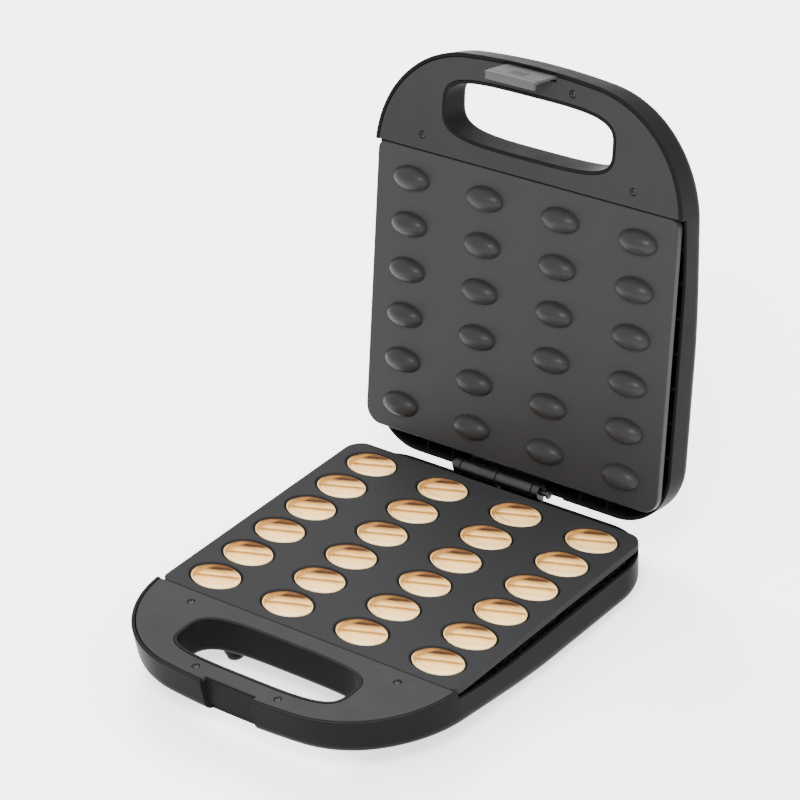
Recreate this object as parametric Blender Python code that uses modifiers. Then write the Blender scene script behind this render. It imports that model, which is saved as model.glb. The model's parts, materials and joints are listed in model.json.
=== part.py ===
"""Nut cookie maker: two hinged halves with a cooking plate each, modelled with the lid open.

The base and the lid share one half frame: its origin is the middle of the mould grid in the parting plane,
+Y points at the hinge and +Z points out of the appliance, away from the other half. The base is that frame
turned half a turn about Y. The lid's frame hangs from the hinge axis and is turned open. Units are metres.
"""

import math

import bmesh
import bpy
from mathutils import Matrix

# Placement in the world
PARTING_HEIGHT = 0.0430  # parting plane above the surface the feet stand on
GRID_Y = -0.0084  # middle of the mould grid, so that the open appliance is centred on the origin
HINGE_Y = 0.1101  # hinge axis, from the middle of the grid
HINGE_X = -0.0053  # middle of the hinge
OPEN_ANGLE = math.radians(102.26)
PARTING_GAP = 0.0002  # each half stops this far short of the parting plane
FIT_GAP = 0.0003  # between neighbouring pieces

# Mould grid
COLUMNS, ROWS = 4, 6
COLUMN_PITCH, ROW_PITCH = 0.0620, 0.0323
CAVITY = (0.0205, 0.0140, 0.0120)  # half length, half width, depth
BUMP = (0.0151, 0.0087, 0.0080)
CUP_WALL, CUP_ROOT = 0.0018, 0.0012  # the cups start this far inside the plate

# Housing
HALF_WIDTH = 0.1262
FRONT_Y, REAR_Y = -0.1783, 0.1166
FRONT_BOW, FRONT_CORNER, REAR_CORNER = 0.5500, 0.0800, 0.0415
HANDLE_DEPTH, BODY_DEPTH = 0.0262, 0.0390
HANDLE_FILLET, BODY_FILLET = 0.0095, 0.0130
RAMP_START, RAMP_END = -0.1500, 0.0
WALL, DRAFT = 0.0025, 0.0015
RIM_FRONT, RIM_REAR = 0.0052, 0.0105  # rim below the parting plane beside and behind the plates
RIM_END = -0.0400  # the rim falls from the handle to here

# Handle
SLOT_Y, SLOT_HALF = -0.1371, (0.0680, 0.0203)
SLOT_POWER = 3.8  # exponent of the slot's superellipse
SLOT_FILLET, SLOT_WALL = 0.0070, 0.0022
COVER_REAR, COVER_THICKNESS, COVER_TOP = -0.1026, 0.0025, 0.0003
HANDLE_SCREWS = ((0.0862, -0.1128), (0.0341, -0.1663))

# Cooking plates
PLATE_HALF_WIDTH, PLATE_FRONT, PLATE_REAR = 0.1230, -0.1017, 0.1004
PLATE_FRONT_CORNER, PLATE_REAR_CORNER = 0.0060, 0.0124
PLATE_TOP, PLATE_THICKNESS, SKIRT_DEPTH, SKIRT_WALL = 0.0004, 0.0028, 0.0040, 0.0022
PLATE_EDGE, PLATE_FIT = 0.0008, 0.0004
POST_X, POST_Y, POST_RADIUS, POST_END = 0.0620, 0.0646, 0.0045, 0.0205

# Heating
HEATER_X, HEATER_FRONT, HEATER_REAR = 0.0950, -0.0500, 0.0880
HEATER_DEPTH, HEATER_RADIUS, HEATER_BEND = 0.0192, 0.00325, 0.0220
SHIELD_X, SHIELD_FRONT, SHIELD_REAR = 0.1100, -0.0740, 0.0930
SHIELD_DEPTH, SHIELD_LIP, SHEET = 0.0232, 0.0037, 0.0006

# Hinge
KNUCKLE_RADIUS, PIN_RADIUS, PIN_PLAY = 0.00525, 0.0020, 0.00025
BARREL = (0.0005, 0.0295)  # along X from the middle of the hinge
EAR = (-0.0359, -0.0305)
WEB_HALF, FLANGE_DEPTH, FLANGE_THICKNESS = 0.0016, 0.0150, 0.0025
HINGE_SCREW_X, HINGE_SCREW_BACK = 0.0220, 0.0054

# Latch, in the lid's half frame
LATCH_HALF = 0.0200
LATCH_PIVOT = (-0.1732, 0.0050)
LATCH_FRONT, LATCH_BACK, LATCH_END = -0.1752, -0.1726, -0.0223
HOOK_BACK, HOOK_TOP = -0.1696, -0.0198
LATCH_PIN_RADIUS, LATCH_KNUCKLE = 0.0012, 0.0025
SPRING_WIRE, SPRING_RADIUS, SPRING_HALF, SPRING_TURNS = 0.0003, 0.0016, 0.0040, 3
COVER_NOTCH_HALF, COVER_NOTCH_BACK = 0.0212, -0.1712
RECESS_HALF, RECESS_FLOOR = 0.0209, -0.1723  # in the base, for the closed latch
HOOK_SLOT_BACK, CATCH_LEDGE = -0.1690, 0.0194

# Feet
FRONT_FOOT, REAR_FOOT = (0.0650, -0.1000), (0.0820, 0.0910)
FOOT_TOP, FOOT_BOTTOM, PAD_HEIGHT = 0.0120, 0.0065, 0.0025

# Small fittings
GLAND_X, GLAND_DEPTH, GLAND_HOLE = 0.0750, 0.0205, 0.0036
LAMPS = ((-0.0120, 0.0), (0.0120, 0.0))

ROUND = 12  # sides of a small round piece
TINY = 0.00001


def clear_scene():
    for obj in list(bpy.data.objects):
        bpy.data.objects.remove(obj, do_unlink=True)


def new_collection(name):
    collection = bpy.data.collections.new(name)
    bpy.context.scene.collection.children.link(collection)
    return collection


def finish(name, color, roughness, metallic=0.0):
    material = bpy.data.materials.new(name)
    material.use_nodes = True
    shader = material.node_tree.nodes["Principled BSDF"]
    shader.inputs["Base Color"].default_value = (*color, 1.0)
    shader.inputs["Roughness"].default_value = roughness
    shader.inputs["Metallic"].default_value = metallic
    return material


clear_scene()
PARTS = new_collection("nut_cookie_maker")
CUTTERS = new_collection("cutters")
SHELL_GREY = finish("housing_plastic", (0.060, 0.061, 0.062), 0.45)
COVER_GREY = finish("cover_plastic", (0.085, 0.086, 0.087), 0.50)
LATCH_GREY = finish("latch_plastic", (0.150, 0.152, 0.154), 0.45)
NONSTICK = finish("nonstick_coating", (0.045, 0.046, 0.047), 0.38)
STEEL = finish("steel", (0.55, 0.55, 0.56), 0.30, 1.0)
DARK_STEEL = finish("blackened_steel", (0.10, 0.10, 0.105), 0.35, 1.0)
SHEET_STEEL = finish("aluminised_sheet", (0.62, 0.63, 0.64), 0.40, 1.0)
RUBBER = finish("rubber", (0.020, 0.020, 0.021), 0.80)
CERAMIC = finish("ceramic", (0.75, 0.73, 0.68), 0.60)
RED_LENS = finish("red_lens", (0.60, 0.02, 0.02), 0.15)
GREEN_LENS = finish("green_lens", (0.03, 0.45, 0.06), 0.15)


# Frames

def empty(name, location, rotation=(0, 0, 0), parent=None):
    frame = bpy.data.objects.new(name, None)
    PARTS.objects.link(frame)
    frame.location = location
    frame.rotation_euler = rotation
    frame.parent = parent
    return frame


BASE = empty("base_frame", (0, GRID_Y, PARTING_HEIGHT), (0, math.pi, 0))
LID_AXIS = empty("lid_hinge_axis", (0, GRID_Y + HINGE_Y, PARTING_HEIGHT), (-OPEN_ANGLE, 0, 0))
LID = empty("lid_frame", (0, -HINGE_Y, 0), parent=LID_AXIS)
LATCH_AXIS = empty("latch_axis", (0, *LATCH_PIVOT), parent=LID)
HINGE_CENTRE = {BASE: -HINGE_X, LID: HINGE_X}


# Objects

def add(name, mesh, collection, frame, location, rotation):
    obj = bpy.data.objects.new(name, mesh)
    collection.objects.link(obj)
    obj.parent = frame
    obj.location = location
    obj.rotation_euler = rotation
    return obj


def part(name, mesh, material, frame, location=(0, 0, 0), rotation=(0, 0, 0)):
    obj = add(name, mesh, PARTS, frame, location, rotation)
    if not mesh.materials:
        mesh.materials.append(material)
        mesh.shade_smooth()
        mesh.set_sharp_from_angle(angle=math.radians(35))
    return obj


def tool(name, mesh, frame, location=(0, 0, 0), rotation=(0, 0, 0)):
    """A solid that is only added to or cut from a part."""
    obj = add(name, mesh, CUTTERS, frame, location, rotation)
    obj.hide_render = True
    obj.display_type = "WIRE"
    return obj


def inner_tool(name, mesh, frame):
    """A block inside a housing, trimmed to the middle of its wall."""
    block = tool(name, mesh, frame)
    combine(block, CORES[frame], "INTERSECT")
    return block


def combine(obj, other, operation):
    boolean = obj.modifiers.new(f"{operation.lower()}_{other.name}", "BOOLEAN")
    boolean.operation = operation
    boolean.solver = "EXACT"
    boolean.object = other


def cut(obj, *others):
    for other in others:
        combine(obj, other, "DIFFERENCE")


def join(obj, *others):
    for other in others:
        combine(obj, other, "UNION")


# Meshes

def mesh_from(bm, name):
    bmesh.ops.recalc_face_normals(bm, faces=bm.faces)
    mesh = bpy.data.meshes.new(name)
    bm.to_mesh(mesh)
    bm.free()
    return mesh


def boxes(name, *corner_pairs):
    """Boxes from pairs of opposite corners, which don't touch each other."""
    bm = bmesh.new()
    for low, high in corner_pairs:
        size = [b - a for a, b in zip(low, high)]
        middle = [(a + b) / 2 for a, b in zip(low, high)]
        bmesh.ops.create_cube(bm, size=1, matrix=Matrix.Translation(middle) @ Matrix.Diagonal((*size, 1)))
    return mesh_from(bm, name)


def rods(name, radius, start, end, places, axis="Z", sides=ROUND):
    """Cylinders from start to end along an axis, one through each (x, y) or, along X, each (y, z)."""
    turn = {"Z": Matrix(), "X": Matrix.Rotation(math.pi / 2, 4, "Y"), "Y": Matrix.Rotation(math.pi / 2, 4, "X")}[axis]
    bm = bmesh.new()
    middle = (start + end) / 2
    for a, b in places:
        centre = {"Z": (a, b, middle), "X": (middle, a, b), "Y": (a, middle, b)}[axis]
        bmesh.ops.create_cone(
            bm, cap_ends=True, segments=sides, radius1=radius, radius2=radius, depth=end - start,
            matrix=Matrix.Translation(centre) @ turn,
        )
    return mesh_from(bm, name)


def skin(bm, rings):
    """Joins rings of points into tubes, and returns their vertices."""
    rows = [[bm.verts.new(point) for point in ring] for ring in rings]
    for upper, lower in zip(rows, rows[1:]):
        for i in range(len(upper)):
            j = (i + 1) % len(upper)
            bm.faces.new((upper[i], upper[j], lower[j], lower[i]))
    return rows


def loft(name, rings):
    """A closed solid through rings whose first and last ones are flat."""
    bm = bmesh.new()
    rows = skin(bm, rings)
    bm.faces.new(rows[0])
    bm.faces.new(rows[-1])
    return mesh_from(bm, name)


def domes(name, half_length, half_width, height, root, tip_side, sides=12, steps=3):
    """Half ellipsoids, one at each place of the mould grid, with their flat faces at the depth root."""
    bm = bmesh.new()
    for x, y in grid_places():
        rings = []
        for step in range(steps):
            tilt = math.radians(90) * step / (steps - 0.35)
            rings.append([
                (
                    x + half_length * math.cos(tilt) * math.cos(turn),
                    y + half_width * math.cos(tilt) * math.sin(turn),
                    root + tip_side * height * math.sin(tilt),
                )
                for turn in (2 * math.pi * i / sides for i in range(sides))
            ])
        rows = skin(bm, rings)
        bm.faces.new(rows[0])
        tip = bm.verts.new((x, y, root + tip_side * height))
        for i in range(sides):
            bm.faces.new((rows[-1][i], rows[-1][(i + 1) % sides], tip))
    return mesh_from(bm, name)


def turned(name, profile, material, frame, location, rotation=(0, 0, 0), sides=ROUND):
    """A piece turned about its own Z from (radius, height) points, listed from top to bottom."""
    mesh = bpy.data.meshes.new(name)
    looped = profile[0] == profile[-1]
    points = profile[:-1] if looped else profile
    edges = [(i, (i + 1) % len(points)) for i in range(len(profile) - 1)]
    mesh.from_pydata([(r, 0, z) for r, z in points], edges, [])
    obj = part(name, mesh, material, frame, location, rotation)
    screw = obj.modifiers.new("turn", "SCREW")
    screw.steps = screw.render_steps = sides
    screw.use_merge_vertices = True
    screw.merge_threshold = TINY
    return obj


def tube(name, points, radius, material, frame, resolution=2):
    """A round bar through the points, as a mesh."""
    curve = bpy.data.curves.new(name, "CURVE")
    curve.dimensions = "3D"
    curve.bevel_depth = radius
    curve.bevel_resolution = resolution
    curve.use_fill_caps = True
    spline = curve.splines.new("POLY")
    spline.points.add(len(points) - 1)
    for spot, point in zip(spline.points, points):
        spot.co = (*point, 1)
    obj = add(name, curve, PARTS, frame, (0, 0, 0), (0, 0, 0))
    curve.materials.append(material)
    return obj


# Outlines

def arc(centre, radius, start, end, steps):
    """Points (x, y, normal x, normal y) along an arc, angles in degrees."""
    found = []
    for step in range(steps + 1):
        turn = math.radians(start + (end - start) * step / steps)
        nx, ny = math.cos(turn), math.sin(turn)
        found.append((centre[0] + radius * nx, centre[1] + radius * ny, nx, ny))
    return found


def mirrored(half):
    """Closes an outline given from its front centre round the right side to the end of its rear edge."""
    return half + [(-x, y, -nx, ny) for x, y, nx, ny in reversed(half) if x > TINY]


def housing_outline():
    bow_centre = FRONT_Y + FRONT_BOW
    corner_x = HALF_WIDTH - FRONT_CORNER
    reach = FRONT_BOW - FRONT_CORNER
    corner_y = bow_centre - math.sqrt(reach**2 - corner_x**2)
    bow_end = -90 + math.degrees(math.asin(corner_x / reach))
    half = arc((0, bow_centre), FRONT_BOW, -90, bow_end, 3)
    half += arc((corner_x, corner_y), FRONT_CORNER, bow_end, 0, 9)[1:]
    side_end = REAR_Y - REAR_CORNER
    half += [(HALF_WIDTH, corner_y + (RAMP_END - corner_y) * step / 5, 1, 0) for step in range(1, 6)]
    half += arc((HALF_WIDTH - REAR_CORNER, side_end), REAR_CORNER, 0, 90, 5)
    return mirrored(half)


def plate_outline():
    x, front, rear = PLATE_HALF_WIDTH, PLATE_FRONT_CORNER, PLATE_REAR_CORNER
    half = arc((x - front, PLATE_FRONT + front), front, -90, 0, 3)
    half += arc((x - rear, PLATE_REAR - rear), rear, 0, 90, 4)
    return mirrored(half)


def slot_outline(sides=32):
    """The finger slot from its front centre: a superellipse with its true normals."""
    found = []
    (a, b), power = SLOT_HALF, SLOT_POWER
    for side in range(sides):
        turn = 2 * math.pi * side / sides
        c, s = math.sin(turn), -math.cos(turn)
        stretch = (abs(c) ** power + abs(s) ** power) ** (-1 / power)
        x, y = a * c * stretch, b * s * stretch
        nx = math.copysign(abs(x / a) ** (power - 1) / a, x)
        ny = math.copysign(abs(y / b) ** (power - 1) / b, y)
        length = math.hypot(nx, ny)
        found.append((x, SLOT_Y + y, nx / length, ny / length))
    return found


def ring(outline, grow, depth):
    return [(x + nx * grow, y + ny * grow, depth) for x, y, nx, ny in outline]


def grid_places():
    return [
        ((column - (COLUMNS - 1) / 2) * COLUMN_PITCH, (row - (ROWS - 1) / 2) * ROW_PITCH)
        for column in range(COLUMNS)
        for row in range(ROWS)
    ]


# Housing form

def ramp(y):
    """0 along the handle, 1 along the body, and a smooth step between them."""
    t = min(max((y - RAMP_START) / (RAMP_END - RAMP_START), 0), 1)
    return t * t * (3 - 2 * t)


def depth_at(y):
    return HANDLE_DEPTH + (BODY_DEPTH - HANDLE_DEPTH) * ramp(y)


def housing_ring(inwards, tilt):
    """A ring of the filleted edge, inwards from the outer face, where the surface has tilted by so much."""
    found = []
    for x, y, nx, ny in housing_outline():
        fillet = HANDLE_FILLET + (BODY_FILLET - HANDLE_FILLET) * ramp(y)
        inset = DRAFT + fillet - (fillet - inwards) * math.cos(tilt)
        depth = depth_at(y) - fillet + (fillet - inwards) * math.sin(tilt)
        found.append((x - nx * inset, y - ny * inset, depth))
    return found


def ladder(bm, row):
    """Closes a ring whose left and right points lie at equal depth."""
    count = len(row)
    for i in range(count // 2):
        pair = [row[i], row[i + 1], row[(count - i - 1) % count], row[(count - i) % count]]
        bm.faces.new(list(dict.fromkeys(pair)))


def rim(y):
    """How far the rim beside the plates lies below the parting plane."""
    start = PLATE_FRONT - PLATE_FIT
    left = 1 - min(max((y - start) / (RIM_END - start), 0), 1)
    return RIM_REAR - (RIM_REAR - RIM_FRONT) * left**2


def rim_step(name):
    """The room beside and behind the plates, down to the rim."""
    start = PLATE_FRONT - PLATE_FIT
    ends = [start + (RIM_END - start) * step / 6 for step in range(7)] + [REAR_Y + 0.01]
    profile = [(start, -0.01)] + [(y, rim(y)) for y in ends] + [(REAR_Y + 0.01, -0.01)]
    return loft(name, [[(x, y, z) for y, z in profile] for x in (-HALF_WIDTH - 0.01, HALF_WIDTH + 0.01)])


def housing_mesh(name):
    tilts = [math.radians(90) * step / 3 for step in range(4)]
    outline = housing_outline()
    rings = [housing_ring(WALL, tilt) for tilt in reversed(tilts)]
    rings += [ring(outline, -WALL, PARTING_GAP), ring(outline, 0, PARTING_GAP)]
    rings += [housing_ring(0, tilt) for tilt in tilts]
    bm = bmesh.new()
    rows = skin(bm, rings)
    ladder(bm, rows[0])
    ladder(bm, rows[-1])
    return mesh_from(bm, name)


def housing_envelope(name, grow):
    """The whole volume inside the housing's outer face, grown by a gap."""
    tilts = [math.radians(90) * step / 3 for step in range(4)]
    rings = [ring(housing_outline(), grow, 0)] + [housing_ring(-grow, tilt) for tilt in tilts]
    bm = bmesh.new()
    rows = skin(bm, rings)
    bm.faces.new(rows[0])
    ladder(bm, rows[-1])
    return mesh_from(bm, name)


def slot_solid(name, wall, start, past):
    """The finger slot's column, flared like a fillet at the outer face, and outset by the wall."""
    outline = slot_outline()
    bends = []
    for angle in (0, 40, 80):
        tilt = math.radians(angle)
        radius = SLOT_FILLET - wall
        bends.append((SLOT_FILLET - radius * math.cos(tilt), radius * math.sin(tilt) - SLOT_FILLET))
    bends.append((SLOT_FILLET + 0.001, past))
    rings = [ring(outline, wall, start)]
    rings += [[(x + nx * grow, y + ny * grow, depth_at(y) + rise) for x, y, nx, ny in outline]
              for grow, rise in bends]
    bm = bmesh.new()
    rows = skin(bm, rings)
    ladder(bm, rows[0])
    ladder(bm, rows[-1])
    return mesh_from(bm, name)


def both_sides(places):
    return [(side * x, y) for x, y in places for side in (-1, 1)]


def housing(name, frame):
    shell = part(name, housing_mesh(name), SHELL_GREY, frame)
    handle_screws = both_sides(HANDLE_SCREWS)
    post_places = both_sides(((POST_X, -POST_Y), (POST_X, POST_Y)))
    pillar_top = COVER_TOP + COVER_THICKNESS + FIT_GAP
    join(
        shell,
        tool(f"{name}_slot_wall", slot_solid(f"{name}_slot_wall", SLOT_WALL, PARTING_GAP, -0.0013), frame),
        tool(f"{name}_pillars", rods("pillars", 0.0034, pillar_top, HANDLE_DEPTH - 0.0011, handle_screws, sides=8), frame),
    )
    hinge_x = HINGE_CENTRE[frame]
    shelf_top = FLANGE_DEPTH + FLANGE_THICKNESS + FIT_GAP
    shelf = boxes("shelf", *[
        ((hinge_x + side * HINGE_SCREW_X - 0.004, HINGE_Y - 0.0085, shelf_top),
         (hinge_x + side * HINGE_SCREW_X + 0.004, REAR_Y, BODY_DEPTH))
        for side in (-1, 1)
    ])
    bosses = rods("bosses", 0.0050, POST_END + FIT_GAP, 0.05, post_places, sides=10)
    join(shell, inner_tool(f"{name}_hinge_shelf", shelf, frame), inner_tool(f"{name}_bosses", bosses, frame))
    cut(
        shell,
        tool(f"{name}_slot", slot_solid(f"{name}_slot", 0, -0.002, 0.004), frame),
        tool(f"{name}_rim_step", rim_step(f"{name}_rim_step"), frame),
        tool(f"{name}_pilot_holes", rods("pilots", 0.0014, pillar_top - 0.001, 0.0145, handle_screws, sides=6), frame),
        tool(f"{name}_plate_screw_holes", rods("shaft_holes", 0.0019, 0.0195, 0.05, post_places, sides=8), frame),
        tool(f"{name}_head_holes", rods("head_holes", 0.0036, 0.0255, 0.05, post_places, sides=10), frame),
        tool(f"{name}_hinge_pilots", rods(
            "hinge_pilots", 0.0014, shelf_top - 0.001, 0.0245,
            [(hinge_x + side * HINGE_SCREW_X, HINGE_Y - HINGE_SCREW_BACK) for side in (-1, 1)], sides=6), frame),
    )
    return shell


# Base

def lower_housing():
    shell = housing("lower_housing", BASE)
    under_cover = COVER_TOP + COVER_THICKNESS + FIT_GAP
    catch = boxes("catch", ((-0.0240, FRONT_Y, under_cover), (0.0240, -0.1650, 0.05)))
    lip = boxes("lip", ((-0.0205, RECESS_FLOOR - 0.001, 0.0015), (0.0205, COVER_NOTCH_BACK - FIT_GAP, 0.0050)))
    join(shell, inner_tool("catch_block", catch, BASE), tool("catch_lip", lip, BASE))
    recess = boxes("recess", ((-RECESS_HALF, FRONT_Y - 0.01, -0.01), (RECESS_HALF, RECESS_FLOOR, 0.05)))
    hook_slot = boxes("hook_slot", (
        (-RECESS_HALF, RECESS_FLOOR - 0.003, CATCH_LEDGE), (RECESS_HALF, HOOK_SLOT_BACK, 0.05)))
    cut(shell, tool("recess", recess, BASE), tool("hook_slot", hook_slot, BASE))
    gland_boss = rods("gland_boss", 0.0092, REAR_Y - 0.0125, REAR_Y + 0.01, [(GLAND_X, GLAND_DEPTH)], "Y")
    join(shell, inner_tool("gland_boss", gland_boss, BASE))
    seat = rods("gland_seat", 0.0071, REAR_Y - 0.0060, REAR_Y + 0.01, [(GLAND_X, GLAND_DEPTH)], "Y")
    bore = rods("gland_bore", 0.0053, REAR_Y - 0.02, REAR_Y, [(GLAND_X, GLAND_DEPTH)], "Y")
    cut(shell, tool("gland_seat", seat, BASE), tool("gland_bore", bore, BASE))


def cord_gland():
    """A flanged bush in the rear wall, with the hole the mains lead would pass."""
    hole = GLAND_HOLE
    profile = [(hole, 0.0012), (0.0068, 0.0012), (0.0068, -0.0028), (0.0050, -0.0028), (0.0050, -0.0125),
               (hole, -0.0125), (hole, 0.0012)]
    turned("cord_gland", profile, RUBBER, BASE, (GLAND_X, REAR_Y - 0.0029, GLAND_DEPTH), (-math.pi / 2, 0, 0))


def feet():
    for place, (x, y) in (("front", FRONT_FOOT), ("rear", REAR_FOOT)):
        for side, name in ((1, "left"), (-1, "right")):
            where = (side * x, y, PARTING_HEIGHT)
            pad_top = -PAD_HEIGHT
            turned(
                f"foot_pad_{place}_{name}",
                [(0, 0), (0.0050, 0), (0.0056, -0.0006), (0.0056, pad_top), (0, pad_top)],
                RUBBER, BASE, where,
            )
            low, high = -PAD_HEIGHT - FIT_GAP, -PARTING_HEIGHT + depth_at(y) - 0.004
            foot = turned(
                f"foot_{place}_{name}",
                [(0, low), (FOOT_BOTTOM - 0.0006, low), (FOOT_BOTTOM, low - 0.0006), (FOOT_TOP, high), (0, high)],
                SHELL_GREY, BASE, where,
            )
            cut(foot, ENVELOPE)


def thermostat(name, frame):
    can = turned(
        name, [(0, 0.0106), (0.0045, 0.0106), (0.0050, 0.0080), (0.0072, 0.0080), (0.0072, 0.0), (0, 0.0)],
        CERAMIC, frame, (0, ROW_PITCH / 2, PLATE_TOP + PLATE_THICKNESS + FIT_GAP), sides=12,
    )
    tabs = boxes("tabs", ((-0.0024, -0.0140, 0.0060), (0.0024, -0.0050, 0.0068)),
                 ((-0.0024, 0.0050, 0.0060), (0.0024, 0.0140, 0.0068)))
    join(can, tool(f"{name}_tabs", tabs, frame, can.location))


def thermal_fuse():
    turned(
        "thermal_fuse",
        [(0, 0.022), (0.0006, 0.022), (0.0006, 0.0075), (0.0021, 0.0060), (0.0021, -0.0060), (0.0006, -0.0075),
         (0.0006, -0.022), (0, -0.022)],
        STEEL, BASE, (0, -0.0400, 0.0075), (math.pi / 2, 0, 0), sides=10,
    )


def terminal_block():
    block = part("terminal_block", boxes("terminal_block", ((-0.015, -0.0065, 0), (0.015, 0.0065, 0.0056))),
                 CERAMIC, BASE, (0.0350, 0.0820, BODY_DEPTH - 0.0087))
    holes = rods("terminal_holes", 0.0017, -0.02, 0.02, [(-0.0095, 0.0026), (0, 0.0026), (0.0095, 0.0026)], "Y", 8)
    cut(block, tool("terminal_holes", holes, BASE, block.location))


# Both halves

def handle_cover(name, frame):
    """The flat cover that closes the handle, let into the housing's rim."""
    outline = housing_outline()
    inset = -(WALL + 2 * FIT_GAP)
    bottom = COVER_TOP + COVER_THICKNESS
    cover = part(name, loft(name, [ring(outline, inset, COVER_TOP), ring(outline, inset, bottom)]), COVER_GREY, frame)
    slot = slot_outline()
    grow = SLOT_WALL + FIT_GAP
    places = both_sides(HANDLE_SCREWS)
    cut(
        cover,
        tool(f"{name}_rear", boxes("rear", ((-0.2, COVER_REAR, -0.01), (0.2, 0.2, 0.02))), frame),
        tool(f"{name}_slot", loft("slot", [ring(slot, grow, -0.002), ring(slot, grow, 0.006)]), frame),
        tool(f"{name}_heads", rods("heads", 0.0027, -0.002, COVER_TOP + 0.0014, places, sides=10), frame),
        tool(f"{name}_shafts", rods("shafts", 0.0016, -0.002, 0.006, places, sides=8), frame),
        tool(f"{name}_notch", boxes("notch", (
            (-COVER_NOTCH_HALF, -0.2, -0.01), (COVER_NOTCH_HALF, COVER_NOTCH_BACK, 0.02))), frame),
    )
    return cover


def screw(name, head, shaft, length, frame, location, rotation=(0, 0, 0)):
    """A screw along its own -Z; head is (radius, height)."""
    radius, height = head
    return turned(
        name,
        [(0, height), (radius * 0.75, height), (radius, 0), (shaft, 0), (shaft, -length), (0, -length)],
        STEEL, frame, location, rotation, sides=8,
    )


def cross_recess(obj, radius, height, frame):
    arm, slit = radius * 0.55, radius * 0.14
    corners = [(arm, slit), (slit, slit), (slit, arm)]
    corners += [(-x, y) for x, y in reversed(corners)]
    corners += [(-x, -y) for x, y in corners]
    cross = loft("cross", [[(x, y, z) for x, y in corners] for z in (height * 0.4, height * 2)])
    cut(obj, tool(f"{obj.name}_cross", cross, frame, obj.location, obj.rotation_euler))


def screws(half, frame):
    """Handle, plate and hinge screws; each points along the half frame's Z."""
    point_in, point_out = (math.pi, 0, 0), (0, 0, 0)
    corners = ("front_left", "front_right", "rear_left", "rear_right")
    handle_places = both_sides(HANDLE_SCREWS[::-1])
    for corner, (x, y) in zip(corners, handle_places):
        handle_screw = screw(f"{half}_handle_screw_{corner}", (0.0023, 0.0011), 0.0011, 0.0100, frame,
                             (x, y, COVER_TOP + 0.0012), point_in)
        cross_recess(handle_screw, 0.0023, 0.0011, frame)
    for corner, (x, y) in zip(corners, both_sides(((POST_X, -POST_Y), (POST_X, POST_Y)))):
        screw(f"{half}_plate_screw_{corner}", (0.0031, 0.0020), 0.0014, 0.0140, frame, (x, y, 0.0258), point_out)
    for side, label in ((-1, "left"), (1, "right")):
        screw(f"{half}_hinge_screw_{label}", (0.0026, 0.0018), 0.0011, 0.0085, frame,
              (HINGE_CENTRE[frame] + side * HINGE_SCREW_X, HINGE_Y - HINGE_SCREW_BACK, FLANGE_DEPTH - 0.0002),
              point_in)


def plate(name, frame):
    """A cast plate with a turned skirt and four screw posts behind it."""
    outline = plate_outline()
    rear = PLATE_TOP + PLATE_THICKNESS
    body = part(name, loft(name, [
        ring(outline, -PLATE_EDGE, PLATE_TOP),
        ring(outline, 0, PLATE_TOP + PLATE_EDGE),
        ring(outline, 0, SKIRT_DEPTH),
        ring(outline, -SKIRT_WALL, SKIRT_DEPTH),
        ring(outline, -SKIRT_WALL, rear),
    ]), NONSTICK, frame)
    places = both_sides(((POST_X, -POST_Y), (POST_X, POST_Y)))
    posts = rods("posts", POST_RADIUS, PLATE_TOP + 0.001, POST_END, places, sides=12)
    pilots = rods("pilots", 0.0017, 0.0100, 0.05, places, sides=8)
    join(body, tool(f"{name}_posts", posts, frame))
    return body, tool(f"{name}_pilots", pilots, frame)


def lower_plate():
    body, pilots = plate("lower_plate", BASE)
    length, width, depth = CAVITY
    cup = [size + CUP_WALL for size in CAVITY]
    cup[2] -= CUP_ROOT
    join(body, tool("cups", domes("cups", *cup, PLATE_TOP + CUP_ROOT, 1), BASE))
    hollows = domes("cavities", length, width, depth, PLATE_TOP, 1)
    mouths = loft_each("mouths", length, width, PLATE_TOP - 0.001, PLATE_TOP)
    cut(body, tool("cavities", hollows, BASE), tool("cavity_mouths", mouths, BASE), pilots)


def loft_each(name, half_length, half_width, start, end, sides=12):
    """Short elliptical columns, one at each place of the mould grid."""
    bm = bmesh.new()
    turns = [2 * math.pi * i / sides for i in range(sides)]
    for x, y in grid_places():
        rings = [
            [(x + half_length * math.cos(turn), y + half_width * math.sin(turn), depth) for turn in turns]
            for depth in (start, end)
        ]
        rows = skin(bm, rings)
        bm.faces.new(rows[0])
        bm.faces.new(rows[-1])
    return mesh_from(bm, name)


def upper_plate():
    body, pilots = plate("upper_plate", LID)
    length, width, height = BUMP
    join(body, tool("bumps", domes("bumps", length, width, height + 0.001, PLATE_TOP + 0.001, -1), LID))
    cut(body, pilots)


def heating_element(name, frame):
    """A tubular heater bent into a U behind the moulds, with its cold ends turned in at the rear."""
    left_bend = arc((-HEATER_X + HEATER_BEND, HEATER_FRONT + HEATER_BEND), HEATER_BEND, 180, 270, 5)
    right_bend = arc((HEATER_X - HEATER_BEND, HEATER_FRONT + HEATER_BEND), HEATER_BEND, 270, 360, 5)
    rear_right = arc((HEATER_X - HEATER_BEND, HEATER_REAR - HEATER_BEND), HEATER_BEND, 0, 90, 5)
    rear_left = arc((-HEATER_X + HEATER_BEND, HEATER_REAR - HEATER_BEND), HEATER_BEND, 90, 180, 5)
    cold_end = 0.0600
    flat = [(-cold_end, HEATER_REAR)] + [point[:2] for point in rear_left + left_bend + right_bend + rear_right]
    flat.append((cold_end, HEATER_REAR))
    tube(name, [(x, y, HEATER_DEPTH) for x, y in flat], HEATER_RADIUS, DARK_STEEL, frame)


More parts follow.
